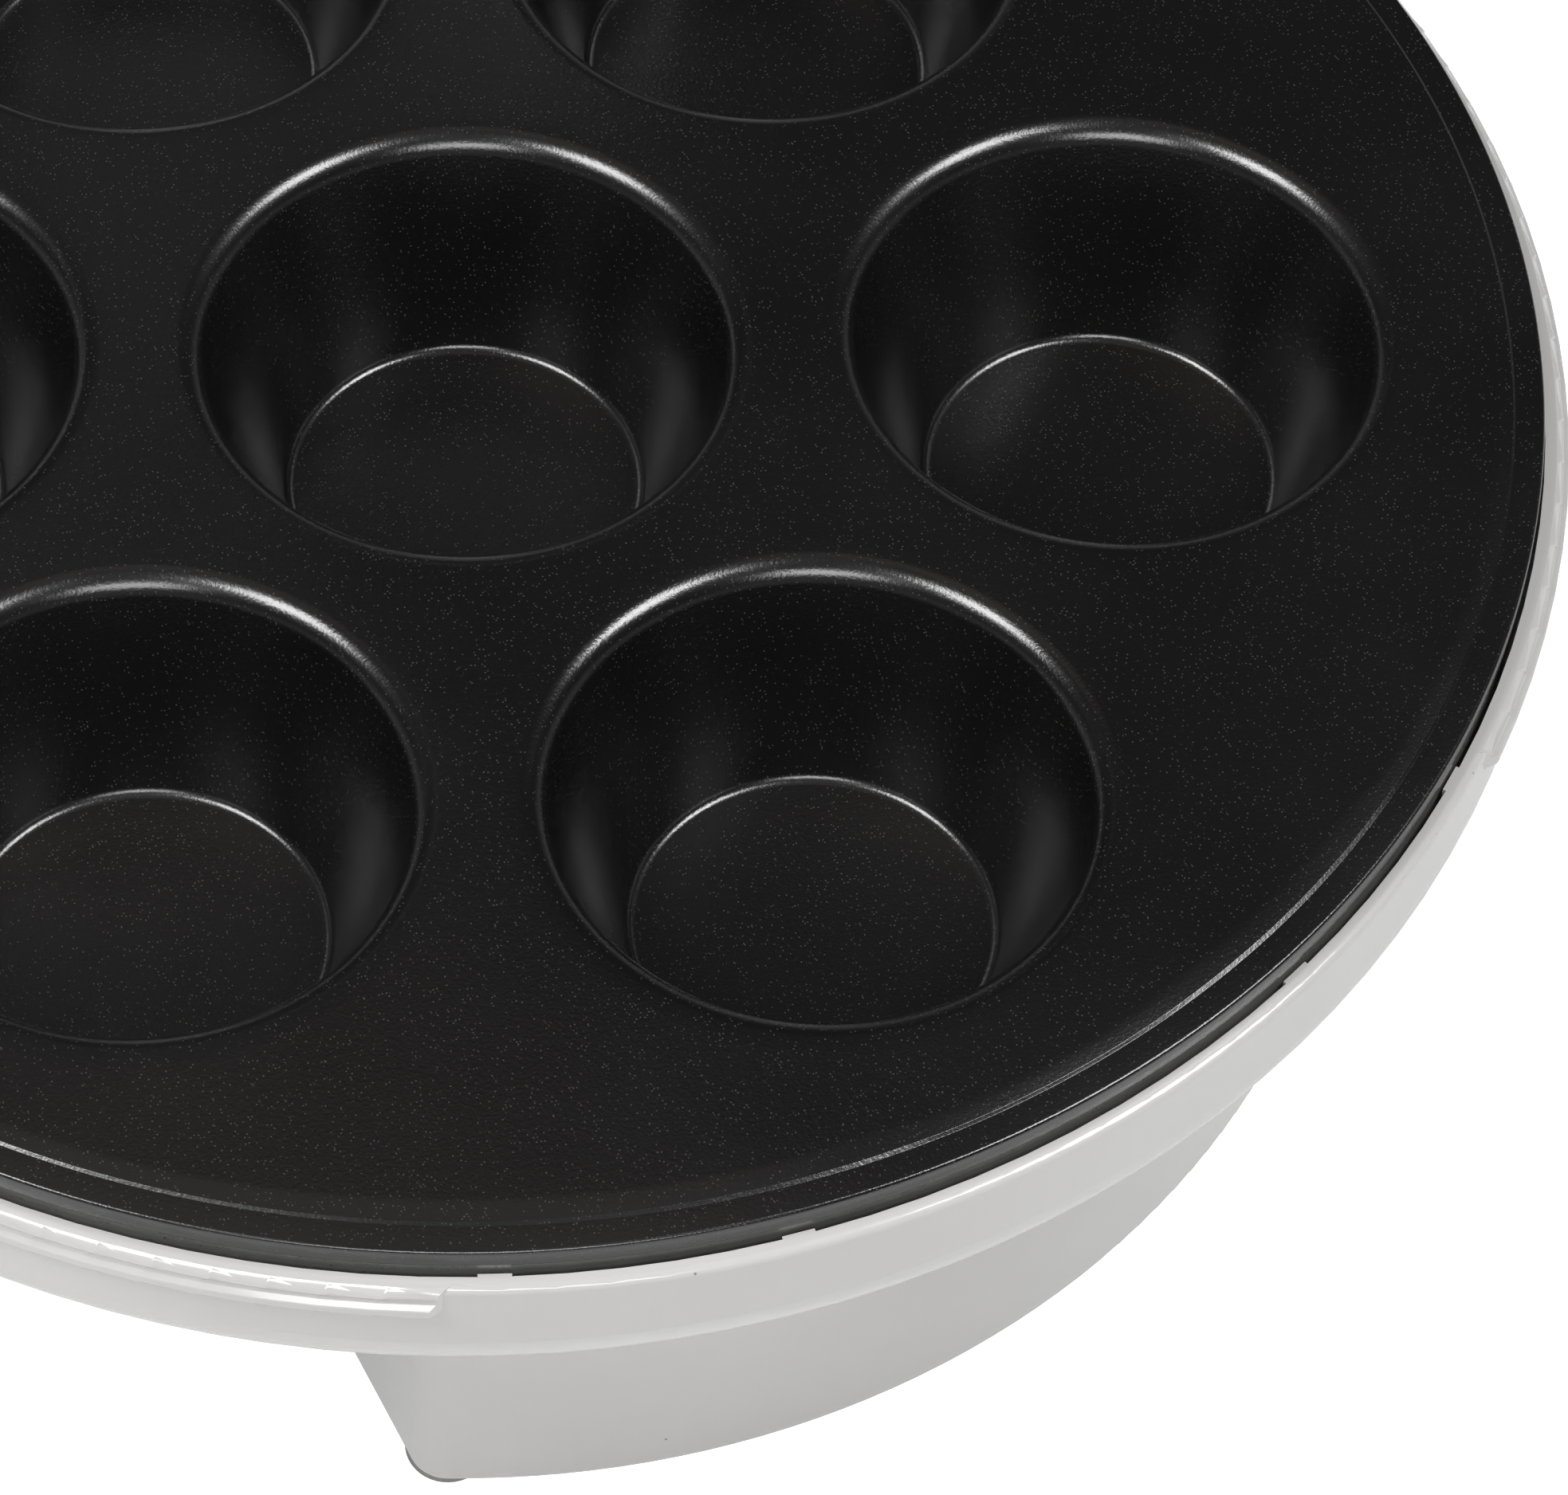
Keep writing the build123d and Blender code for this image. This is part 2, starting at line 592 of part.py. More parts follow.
def lid_arm():
    """Barrel between the lugs, with the arm that joins it to the lid's rear wall."""
    half = LUG_IN - GAP
    arm = block((-half, half), (100, HINGE_Y), (HINGE_Z - 1.2, HINGE_Z + LUG_RADIUS))
    arm -= rod(RIM_INNER + 0.6, 0, 30)
    return arm + along_x(LUG_RADIUS, -half, half, HINGE_Y, HINGE_Z)


def frame_posts():
    """Posts that hang from the lid's crown and take the inner frame."""
    post = rod(4.0, UPPER_SHEET_Z + SHEET + FRAME_SHEET, LID_TOP)
    posts = [at(FRAME_POST_RADIUS, angle) * post for angle in POST_ANGLES]
    return [post & lid_outside() for post in posts]


def lid_housing():
    shell = lid_outside() - lid_inside() + lid_arm()
    for post in frame_posts():
        shell += post
    for angle in POST_ANGLES:
        low = UPPER_SHEET_Z + SHEET + FRAME_SHEET
        shell -= at(FRAME_POST_RADIUS, angle) * rod(1.5 + FIT, low - 1, low + 10)
    shell -= rod(CAP_RADIUS, 30, 60)
    for x in (-HANDLE_BOLT_X, HANDLE_BOLT_X):
        shell -= along_y(2.1, -114, -106, x, HANDLE_BOLT_Z)
    for x in LAMP_X:
        shell -= Pos(x, LAMP_Y, 0) * rod(LENS_RADIUS, 35, 60)
    shell -= along_x(PIN_RADIUS + FIT, 8, LUG_IN + 1, HINGE_Y, HINGE_Z)
    shell -= along_x(BUSH_RADIUS + FIT, -LUG_IN - 1, -8, HINGE_Y, HINGE_Z)
    return shell


def lid_cap():
    """Round cap snapped over the crown's opening."""
    ring = CAP_RADIUS - 0.1
    crown = lid_outside() - lid_inside()
    cap = crown & rod(ring, 30, 60)
    lip = rod(ring - 0.4, LID_TOP - WALL - 6, LID_TOP - 3) - rod(ring - 2.2, 30, 60)
    return cap + (lip & lid_inside())


def upper_plate():
    """Shallow domed plate over the cups, its face looking down with the lid shut."""
    disc = Pos(0, 0, SHUT_GAP) * (Rot(180, 0, 0) * plate_disc())
    centre = SHUT_GAP + DOME_DEPTH - DOME_RADIUS
    above = rod(CUP_PITCH / 2, SHUT_GAP + 1.0, 40)
    for place in cup_places():
        disc += place * ((Pos(0, 0, centre) * Sphere(DOME_RADIUS + CUP_THICK)) & above)
    for angle in POST_ANGLES:
        disc += at(UPPER_POST_RADIUS, angle) * rod(3.6, SHUT_GAP + 1.5, UPPER_SHEET_Z)
    for place in cup_places():
        disc -= place * Pos(0, 0, centre) * Sphere(DOME_RADIUS)
    lips = [e for e in disc.edges().filter_by(GeomType.CIRCLE)
            if abs(e.center().Z - SHUT_GAP) < 0.01 and e.radius < CUP_PITCH / 2]
    disc = fillet(lips, DOME_LIP)
    for angle in POST_ANGLES:
        disc -= at(UPPER_POST_RADIUS, angle) * rod(1.5 + FIT, 8, UPPER_SHEET_Z + 1)
    return disc


def upper_reflector():
    high = UPPER_SHEET_Z + SHEET
    outline = [
        (0, UPPER_SHEET_Z), (83.4, UPPER_SHEET_Z), (86.4, high - 5), (87.0, high - 5),
        (84.0, high), (0, high),
    ]
    pan = spin(outline)
    for angle in POST_ANGLES:
        pan -= at(UPPER_POST_RADIUS, angle) * rod(1.8, UPPER_SHEET_Z - 1, high + 1)
    return pan


def lid_frame():
    """Stamped disc that ties the upper plate to the lid's posts."""
    low = UPPER_SHEET_Z + SHEET
    disc = rod(100, low, low + FRAME_SHEET)
    for angle in POST_ANGLES:
        disc -= at(UPPER_POST_RADIUS, angle) * rod(1.8, low - 1, low + 3)
        disc -= at(FRAME_POST_RADIUS, angle) * rod(1.8, low - 1, low + 3)
    for angle in LEG_ANGLES:
        disc -= at(ELEMENT_REACH, angle) * rod(9, low - 1, low + 3)
    for i in range(6):
        disc -= at(60, 60.0 * i + 30) * rod(11, low - 1, low + 3)
    return disc


def upper_plate_screws():
    """Screws down through the frame into the upper plate's bosses."""
    one = Rot(180, 0, 0) * screw(3.2, 2.0, 1.5, 9)
    top = UPPER_SHEET_Z + SHEET + FRAME_SHEET
    return Compound(children=[at(UPPER_POST_RADIUS, angle, top) * one for angle in POST_ANGLES])


def frame_screws():
    """Screws up through the frame into the lid's posts."""
    one = screw(3.2, 2.0, 1.5, 9)
    low = UPPER_SHEET_Z + SHEET
    return Compound(children=[at(FRAME_POST_RADIUS, angle, low) * one for angle in POST_ANGLES])


def lens(x):
    """Domed lamp lens in the lid's crown, with a flange behind the shell."""
    body = rod(LENS_RADIUS - 0.02, LENS_LOW, LENS_TOP)
    body = fillet(body.edges().filter_by(GeomType.CIRCLE).sort_by(Axis.Z)[-1], 1.5)
    return Pos(x, LAMP_Y, 0) * body


def lamp(x):
    """Neon lamp with its two leads."""
    body = rod(LAMP_RADIUS, 27.5, 38.8)
    leads = [Pos(s, 0, 0) * rod(0.4, 22.5, 27.5) for s in (-1, 1)]
    return Pos(x, LAMP_Y, 0) * (body + leads[0] + leads[1])


def lamp_holder():
    """Moulded tray clipped inside the crown that holds both lamps."""
    tray = block((-17, 17), (LAMP_Y - 6, LAMP_Y + 6), (30, 32))
    tray = fillet(tray.edges().filter_by(Axis.Z), 2)
    crown = lid_inside()
    for x in (-14.5, 14.5):
        tray += Pos(x, LAMP_Y, 0) * rod(1.8, 31, 60) & crown
    for x in LAMP_X:
        tray -= Pos(x, LAMP_Y, 0) * rod(LAMP_RADIUS + FIT, 29, 33)
    return tray


def upper_wires():
    """Two leads from the upper loop's pins across the frame to the lamps."""
    leads = []
    for side in (-1, 1):
        a = radians(90 - 30 * side)
        out_x = cos(a)
        out_y = sin(a)
        points = [
            (97 * out_x, 97 * out_y, 21.6), (97 * out_x, 97 * out_y, 26.0), (70 * out_x, 70 * out_y, 26.0),
            (20 * side, 0, 26.0), (20 * side, -50, 26.0), (14 * side, -66, 27.0),
        ]
        path = FilletPolyline(*points, radius=[2, 12, 14, 5])
        leads.append(sweep(Plane(origin=path @ 0, z_dir=path % 0) * Circle(WIRE_RADIUS), path=path))
    return Compound(children=leads)


export("lid_cap", lid_cap(), lid=True)
export("upper_plate", upper_plate(), lid=True)
export("upper_skirt", Pos(0, 0, SHUT_GAP) * (Rot(180, 0, 0) * plate_skirt()), lid=True)
export("upper_reflector", upper_reflector(), lid=True)
export("lid_frame", lid_frame(), lid=True)
upper_ends = UPPER_ELEMENT_Z + ELEMENT_DROP
export("upper_element", element(UPPER_ELEMENT_Z, ELEMENT_DROP), lid=True)
export("upper_element_pins", element_pins(upper_ends, upper_ends + 4), lid=True)
export("upper_plate_screws", upper_plate_screws(), lid=True)
export("frame_screws", frame_screws(), lid=True)
export("power_lens", lens(LAMP_X[0]), lid=True)
export("ready_lens", lens(LAMP_X[1]), lid=True)
export("power_lamp", lamp(LAMP_X[0]), lid=True)
export("ready_lamp", lamp(LAMP_X[1]), lid=True)
export("lamp_holder", lamp_holder(), lid=True)
export("upper_wires", upper_wires(), lid=True)


# ---------------------------------------------------------------- handle

def handle_solid():
    """Whole grip before it is split, fitted to the lid's wall."""
    left = Line((-HANDLE_ROOT, -100), (-HANDLE_ROOT, -112))
    side = Line(left @ 1, (-HANDLE_TIP, HANDLE_FRONT + 6))
    nose = ThreePointArc(side @ 1, (0, HANDLE_FRONT), (HANDLE_TIP, HANDLE_FRONT + 6))
    back = Polyline(nose @ 1, (HANDLE_ROOT, -112), (HANDLE_ROOT, -100), (-HANDLE_ROOT, -100))
    plan = make_face(left + side + nose + back)
    corners = plan.vertices().sort_by(Axis.Y)[:2]
    plan = fillet(corners, 9)
    grip = extrude(Pos(0, 0, HANDLE_LOW) * plan, HANDLE_HIGH - HANDLE_LOW)
    grip = fillet(grip.faces().sort_by(Axis.Z)[-1].edges(), 4)
    grip = fillet(grip.faces().sort_by(Axis.Z)[0].edges(), 2.5)
    return grip - lid_outside() - rod(RIM_OUTER, 0, 60)


def handle_halves():
    """Upper grip and the cover under it."""
    grip = handle_solid()
    below = block((-60, 60), (-160, -90), (0, HANDLE_SPLIT))
    upper = grip - below
    cover = grip & below
    for x in (-HANDLE_BOLT_X, HANDLE_BOLT_X):
        upper -= along_y(2.0 + FIT, -127, -100, x, HANDLE_BOLT_Z)
        upper -= Pos(x, COVER_SCREW_Y, 0) * rod(1.5 + FIT, 0, 16)
        cover -= Pos(x, COVER_SCREW_Y, 0) * rod(1.7, 0, 16)
        cover -= Pos(x, COVER_SCREW_Y, 0) * rod(3.2, 0, HANDLE_LOW + 2.5)
    return upper, cover


def handle_bolts():
    """Bolts from inside the lid out into the grip."""
    one = Rot(90, 0, 0) * screw(3.4, 2.0, 2.0, 16)
    return Compound(children=[Pos(x, -109.0 + 0.9, HANDLE_BOLT_Z) * one
                              for x in (-HANDLE_BOLT_X, HANDLE_BOLT_X)])


def cover_screws():
    one = screw(2.9, 1.8, 1.5, 8)
    return Compound(children=[Pos(x, COVER_SCREW_Y, HANDLE_LOW + 2.5) * one
                              for x in (-HANDLE_BOLT_X, HANDLE_BOLT_X)])


grip_upper, grip_cover = handle_halves()
export("lid_housing", lid_housing(), lid=True)
export("handle_grip", grip_upper, lid=True)
export("handle_cover", grip_cover, lid=True)
export("handle_bolts", handle_bolts(), lid=True)
export("cover_screws", cover_screws(), lid=True)
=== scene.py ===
import json
import math

import bmesh
import bpy
from mathutils import Matrix, Vector
from mathutils.geometry import delaunay_2d_cdt


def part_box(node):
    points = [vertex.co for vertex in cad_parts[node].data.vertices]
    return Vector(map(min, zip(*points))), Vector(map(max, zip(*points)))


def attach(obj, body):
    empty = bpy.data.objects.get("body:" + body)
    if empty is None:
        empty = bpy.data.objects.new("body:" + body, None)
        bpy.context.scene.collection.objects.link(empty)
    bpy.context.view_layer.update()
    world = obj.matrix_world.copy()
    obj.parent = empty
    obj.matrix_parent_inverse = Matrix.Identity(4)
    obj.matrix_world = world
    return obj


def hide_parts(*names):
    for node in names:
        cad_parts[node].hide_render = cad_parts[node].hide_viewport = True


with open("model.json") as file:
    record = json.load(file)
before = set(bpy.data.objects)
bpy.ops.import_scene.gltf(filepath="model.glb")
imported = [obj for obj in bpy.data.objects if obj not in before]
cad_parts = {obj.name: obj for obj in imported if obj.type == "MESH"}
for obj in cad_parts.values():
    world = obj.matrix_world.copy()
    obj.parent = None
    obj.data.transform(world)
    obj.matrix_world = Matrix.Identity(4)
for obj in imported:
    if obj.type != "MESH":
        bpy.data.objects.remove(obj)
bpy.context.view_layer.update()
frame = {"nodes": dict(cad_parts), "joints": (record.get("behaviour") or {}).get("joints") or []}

MM = 0.001
nodes = frame["nodes"]
hinge = frame["joints"][0]
plate_low, plate_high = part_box("lower_plate")
centre = Vector(((plate_low.x + plate_high.x) / 2, (plate_low.y + plate_high.y) / 2, plate_high.z))

# Plate pattern and profiles, in millimetres from the middle of the plate's face
CUP_PITCH = 66.0
CUP_LIP = [(31.4, 0), (27.2, 0), (18.3, -23.2), (0, -23.2)]
CUP_RADII = (3.0, 1.2)
DOME_LIP = [(32.0, 0), (26.3, 0), (21.5, -4.4), (13.0, -7.9), (0, -8.95)]
DOME_RADII = (5.0, 26.0, 40.0)
EDGE = [(100.5, 0), (104.5, 0), (106.1, -0.2), (106.4, -0.4), (109.4, -0.4), (109.4, -2.6), (100.0, -2.6)]
EDGE_RADII = (10.0, 0.1, 0.1, 0.4, 0.2)
CUP_COUNT = 6            # cups round the middle one, the first at 30 degrees
SHUT_GAP = 0.6           # between the two plates with the lid shut
SHEET = 1.4              # thickness of the drawn plates
CUP_RUNS = 144           # points round a cup, and round the plate
EDGE_RUNS = 360
FACE_STEP = 6.0          # spacing of the points inside the flat face
FACE_REACH = 99.0
# Marks pressed into the edge of the face: angle, half width in degrees, depth
PRESSED = ((-66.0, 1.6, 0.35), (-74.0, 8.5, 0.5), (-100.5, 3.2, 0.35), (-116.0, 17.0, 0.4))
PRESSED_EDGE = 106.4     # marks reach full depth PRESSED_RUN inside this radius
PRESSED_RUN = 1.6

# Camera, in degrees and metres from the middle of the plate's face
CAMERA_AZIMUTH = -121.404
CAMERA_OUT = 0.47467
CAMERA_UP = 0.56501
CAMERA_AIM = (-0.000455, -0.060018)
CAMERA_ROLL = 3.299
CAMERA_LENS = 167.226


# ---------------------------------------------------------------- materials

def link(tree, source, target):
    tree.links.new(source, target)


def add(tree, kind, **values):
    """A node of that kind, with its named inputs or properties set."""
    node = tree.nodes.new("ShaderNode" + kind)
    for key, value in values.items():
        if key in node.inputs:
            node.inputs[key].default_value = value
        else:
            setattr(node, key, value)
    return node


def noise_at(tree, place, scale, detail=4.0, rough=0.55):
    found = add(tree, "TexNoise", Scale=scale, Detail=detail, Roughness=rough)
    link(tree, place, found.inputs["Vector"])
    return found.outputs["Fac"]


def spread(tree, value, low, high, start=0.3, end=0.7):
    """value, from start to end, turned into low to high."""
    node = add(tree, "MapRange")
    node.inputs["From Min"].default_value = start
    node.inputs["From Max"].default_value = end
    node.inputs["To Min"].default_value = low
    node.inputs["To Max"].default_value = high
    link(tree, value, node.inputs["Value"])
    return node.outputs["Result"]


def blend(tree, share, first, second):
    """first to second by share; each is a colour or an output."""
    node = add(tree, "Mix", data_type="RGBA")
    link(tree, share, node.inputs["Factor"])
    for value, name in ((first, "A"), (second, "B")):
        socket = next(s for s in node.inputs if s.name == name and s.type == "RGBA")
        if isinstance(value, tuple):
            socket.default_value = (*value, 1.0)
        else:
            link(tree, value, socket)
    return next(s for s in node.outputs if s.type == "RGBA")


def multiply(tree, first, second):
    node = add(tree, "Math", operation="MULTIPLY")
    link(tree, first, node.inputs[0])
    if isinstance(second, float):
        node.inputs[1].default_value = second
    else:
        link(tree, second, node.inputs[1])
    return node.outputs[0]


def specks(tree, place, scale, size):
    """Small round flecks, of which about a third are there."""
    cells = add(tree, "TexVoronoi", Scale=scale)
    link(tree, place, cells.inputs["Vector"])
    dots = spread(tree, cells.outputs["Distance"], 1.0, 0.0, size * 0.5, size)
    parts = add(tree, "SeparateColor")
    link(tree, cells.outputs["Color"], parts.inputs[0])
    chosen = spread(tree, parts.outputs[0], 0.0, 1.0, 0.62, 0.7)
    return multiply(tree, dots, chosen)


def edges(tree, place, radius, gain):
    """1 along sharp edges, broken up by noise, and 0 on plain faces."""
    soft = add(tree, "Bevel", samples=4, Radius=radius)
    true = add(tree, "NewGeometry")
    dot = add(tree, "VectorMath", operation="DOT_PRODUCT")
    link(tree, soft.outputs[0], dot.inputs[0])
    link(tree, true.outputs["Normal"], dot.inputs[1])
    turned = spread(tree, dot.outputs["Value"], gain, 0.0, 0.85, 0.995)
    return multiply(tree, turned, spread(tree, noise_at(tree, place, 900.0), 0.2, 1.0))


def surface(name, dark, light, rough, patch=40.0, grain=2500.0, relief=0.01, waves=0.0,
            fleck=None, wear_and_edge_sheen=None, **fixed):
    """A finish whose colour, roughness and relief vary over the surface. Relief and waves are in mm."""
    made = bpy.data.materials.new(name)
    made.use_nodes = True
    tree = made.node_tree
    shader = tree.nodes["Principled BSDF"]
    place = add(tree, "TexCoord").outputs["Object"]
    colour = blend(tree, spread(tree, noise_at(tree, place, patch), 0.0, 1.0), dark, light)
    if fleck:
        tint, scale, size = fleck
        colour = blend(tree, specks(tree, place, scale, size), colour, tint)
    # lighter tint along sharp edges: rubbed wear on metal, grip and rubber; painted edge highlight on the
    # white shell
    if wear_and_edge_sheen:
        tint, radius, gain = wear_and_edge_sheen
        colour = blend(tree, edges(tree, place, radius * MM, gain), colour, tint)
    link(tree, colour, shader.inputs["Base Color"])
    link(tree, spread(tree, noise_at(tree, place, patch * 2.3, 6.0), *rough), shader.inputs["Roughness"])
    fine = add(tree, "Bump", Strength=1.0, Distance=relief * MM)
    link(tree, noise_at(tree, place, grain, 2.0), fine.inputs["Height"])
    if waves:
        broad = add(tree, "Bump", Strength=1.0, Distance=waves * MM)
        link(tree, noise_at(tree, place, 28.0, 1.0), broad.inputs["Height"])
        link(tree, broad.outputs[0], fine.inputs["Normal"])
    link(tree, fine.outputs[0], shader.inputs["Normal"])
    for key, value in fixed.items():
        shader.inputs[key.replace("_", " ")].default_value = value
    return made


def build_finishes():
    """One finish for each of the record's material slots, and a rougher coat for the lid's plate."""
    plastic = {"IOR": 1.5, "Coat_Weight": 0.5, "Coat_Roughness": 0.06}
    metal = {"Metallic": 1.0}
    return {
        "white_shell": surface("white_shell", (0.57, 0.562, 0.555), (0.6, 0.594, 0.587), (0.14, 0.22),
                               patch=30.0, grain=1500.0, relief=0.0015, waves=0.02,
                               fleck=((0.22, 0.2, 0.18), 260.0, 0.05),
                               # the lighter edge tint here is painted edge highlight
                               wear_and_edge_sheen=((0.62, 0.612, 0.603), 0.5, 0.35), **plastic),
        "cap_white": surface("cap_white", (0.57, 0.562, 0.555), (0.6, 0.594, 0.587), (0.14, 0.22),
                             patch=30.0, grain=1500.0, relief=0.0015, waves=0.02, **plastic),
        "grey_grip": surface("grey_grip", (0.24, 0.24, 0.245), (0.29, 0.29, 0.295), (0.42, 0.56),
                             grain=1800.0, relief=0.02, wear_and_edge_sheen=((0.4, 0.4, 0.4), 0.6, 0.5), IOR=1.48),
        "nonstick": surface("nonstick", (0.002, 0.0019, 0.0022), (0.0042, 0.0038, 0.0036), (0.2, 0.27),
                            patch=14.0, grain=3000.0, relief=0.022, waves=0.05,
                            fleck=((0.055, 0.053, 0.051), 2800.0, 0.3), IOR=1.5,
                            Specular_IOR_Level=1.0),
        "lid_nonstick": surface("lid_nonstick", (0.002, 0.0019, 0.0022), (0.0042, 0.0038, 0.0036),
                                (0.48, 0.58), patch=14.0, grain=3000.0, relief=0.03, waves=0.05,
                                fleck=((0.04, 0.039, 0.038), 2800.0, 0.3), IOR=1.45),
        "black_skirt": surface("black_skirt", (0.14, 0.138, 0.136), (0.19, 0.187, 0.184), (0.24, 0.34),
                               patch=60.0, grain=2600.0, relief=0.01, waves=0.05,
                               fleck=((0.08, 0.075, 0.07), 1300.0, 0.24), IOR=1.8,
                               Specular_IOR_Level=1.0),
        "aluminised_sheet": surface("aluminised_sheet", (0.5, 0.5, 0.51), (0.66, 0.66, 0.66), (0.3, 0.48),
                                    patch=90.0, grain=700.0, relief=0.02,
                                    wear_and_edge_sheen=((0.78, 0.78, 0.78), 0.4, 0.6), **metal),
        "element_sheath": surface("element_sheath", (0.11, 0.1, 0.095), (0.2, 0.175, 0.15), (0.4, 0.58),
                                  patch=120.0, grain=1500.0, relief=0.02, **metal),
        "zinc_screw": surface("zinc_screw", (0.5, 0.5, 0.52), (0.7, 0.68, 0.62), (0.24, 0.42),
                              patch=400.0, grain=2500.0, relief=0.008,
                              wear_and_edge_sheen=((0.8, 0.8, 0.8), 0.25, 0.6), **metal),
        "terminal_nickel": surface("terminal_nickel", (0.55, 0.53, 0.5), (0.68, 0.66, 0.62), (0.25, 0.4),
                                   patch=300.0, relief=0.006, **metal),
        "brass": surface("brass", (0.55, 0.38, 0.14), (0.7, 0.5, 0.2), (0.25, 0.42),
                         patch=300.0, relief=0.006, wear_and_edge_sheen=((0.8, 0.62, 0.3), 0.2, 0.5), **metal),
        "cream_block": surface("cream_block", (0.6, 0.55, 0.42), (0.68, 0.63, 0.5), (0.4, 0.55),
                               patch=150.0, relief=0.01, IOR=1.5),
        "thermostat_can": surface("thermostat_can", (0.45, 0.44, 0.43), (0.6, 0.59, 0.58), (0.3, 0.45),
                                  patch=200.0, relief=0.01, wear_and_edge_sheen=((0.75, 0.75, 0.75), 0.3, 0.5), **metal),
        "fuse_sleeve": surface("fuse_sleeve", (0.62, 0.6, 0.54), (0.72, 0.7, 0.64), (0.6, 0.78),
                               patch=300.0, grain=3000.0, relief=0.04),
        "hinge_steel": surface("hinge_steel", (0.45, 0.45, 0.46), (0.62, 0.62, 0.62), (0.22, 0.38),
                               patch=250.0, grain=1200.0, relief=0.008,
                               wear_and_edge_sheen=((0.75, 0.75, 0.75), 0.3, 0.6), **metal),
        "wire_sleeve": surface("wire_sleeve", (0.55, 0.5, 0.42), (0.66, 0.62, 0.54), (0.55, 0.7),
                               patch=400.0, grain=4000.0, relief=0.05),
        "black_sleeve": surface("black_sleeve", (0.012, 0.012, 0.012), (0.025, 0.025, 0.025), (0.5, 0.65),
                                patch=300.0, grain=3000.0, relief=0.03),
        "black_rubber": surface("black_rubber", (0.014, 0.014, 0.014), (0.028, 0.027, 0.026), (0.6, 0.75),
                                patch=200.0, grain=2500.0, relief=0.03,
                                wear_and_edge_sheen=((0.06, 0.058, 0.055), 0.4, 0.5)),
        "pad_rubber": surface("pad_rubber", (0.22, 0.22, 0.215), (0.28, 0.28, 0.275), (0.5, 0.66),
                              patch=160.0, grain=2200.0, relief=0.02,
                              wear_and_edge_sheen=((0.5, 0.5, 0.49), 0.4, 0.4)),
        "red_lens": surface("red_lens", (0.42, 0.012, 0.01), (0.58, 0.03, 0.02), (0.08, 0.16),
                            patch=200.0, grain=1200.0, relief=0.03, IOR=1.49,
                            Transmission_Weight=0.35),
        "green_lens": surface("green_lens", (0.01, 0.26, 0.045), (0.03, 0.4, 0.09), (0.08, 0.16),
                              patch=200.0, grain=1200.0, relief=0.03, IOR=1.49,
                              Transmission_Weight=0.35),
        "lamp_glass": surface("lamp_glass", (0.75, 0.62, 0.5), (0.85, 0.75, 0.66), (0.04, 0.1),
                              patch=300.0, relief=0.004, IOR=1.5, Transmission_Weight=0.6),
        "holder_plastic": surface("holder_plastic", (0.5, 0.5, 0.48), (0.58, 0.58, 0.56), (0.4, 0.55),
                                  patch=120.0, relief=0.015),
    }


finishes = build_finishes()
for node in nodes.values():
    for slot in node.material_slots:
        slot.material = finishes[slot.material.name.split(".")[0]]


# ---------------------------------------------------------------- baking plates

def rounded(points, radii, steps):
    """points with each inner corner rounded to its radius, in steps runs."""
    path = [Vector(points[0])]
    for i, radius in enumerate(radii, 1):
        before, corner, after = (Vector(points[i + k]) for k in (-1, 0, 1))
        into, out = (corner - before).normalized(), (after - corner).normalized()
        turn = into.angle_signed(out)
        reach = radius * math.tan(abs(turn) / 2)
        start = corner - into * reach
        middle = start + Vector((into.y, -into.x)) * math.copysign(radius, turn)
        for k in range(steps + 1):
            arm = Matrix.Rotation(-turn * k / steps, 2) @ (start - middle)
            path.append(middle + arm)
    path.extend(Vector(p) for p in points[len(radii) + 1:])
    return path


def crest(angle):
    """How far the edge of the raised face is pressed in at this angle, in millimetres."""
    return sum(deep * math.exp(-((angle - at) / wide) ** 4) for at, wide, deep in PRESSED)


def ring(mesh, path, count, shape):
    """Rows of points round the axis, one for each point of path. shape makes a point of (r, z, angle)."""
    return [[mesh.verts.new(shape(r, z, 2 * math.pi * k / count)) for k in range(count)] for r, z in path]


def bridge(mesh, rows, flip=False):
    for inner, outer in zip(rows, rows[1:]):
        count = len(inner)
        for k in range(count):
            quad = [inner[k], outer[k], outer[(k + 1) % count], inner[(k + 1) % count]]
            mesh.faces.new(reversed(quad) if flip else quad)


